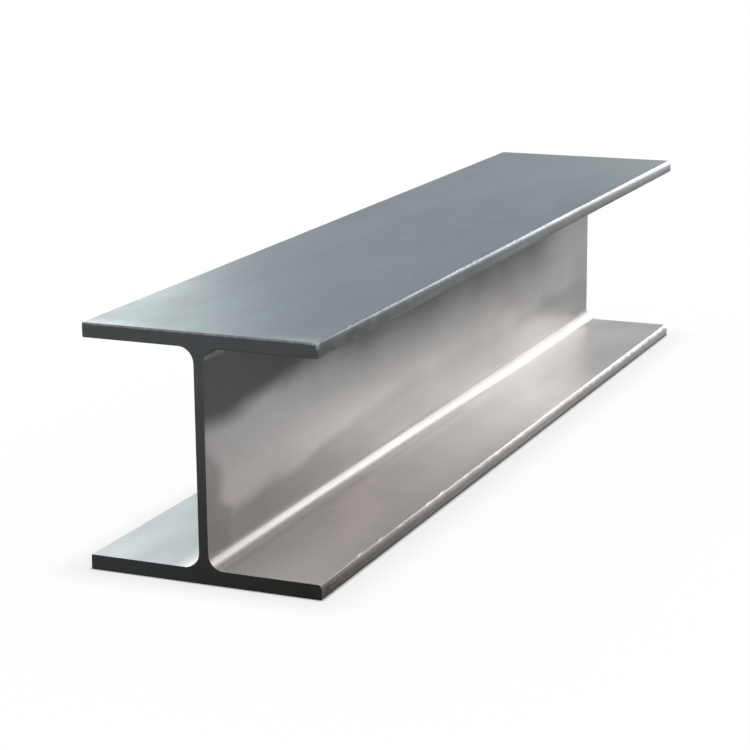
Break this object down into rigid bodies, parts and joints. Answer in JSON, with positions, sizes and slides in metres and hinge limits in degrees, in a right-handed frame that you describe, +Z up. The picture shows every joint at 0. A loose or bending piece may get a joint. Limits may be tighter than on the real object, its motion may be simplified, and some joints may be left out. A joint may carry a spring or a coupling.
{
  "type": "steel i-beam",
  "caption": "Short sawn length of hot-rolled wide-flange steel beam with parallel flanges, a central web and rounded root corners, for carrying loads in a frame.",
  "frame": {"origin": "on the underside of the bottom flange, under the web and at half length", "axes": "+X across the flanges, +Y along the beam, +Z up from the bottom flange to the top flange"},
  "size_m": [0.2, 0.95, 0.2],
  "materials": {
    "rolled_steel": "satin"
  },
  "bodies": {
    "root": {"i_beam": "rolled_steel"}
  },
  "joints": []
}
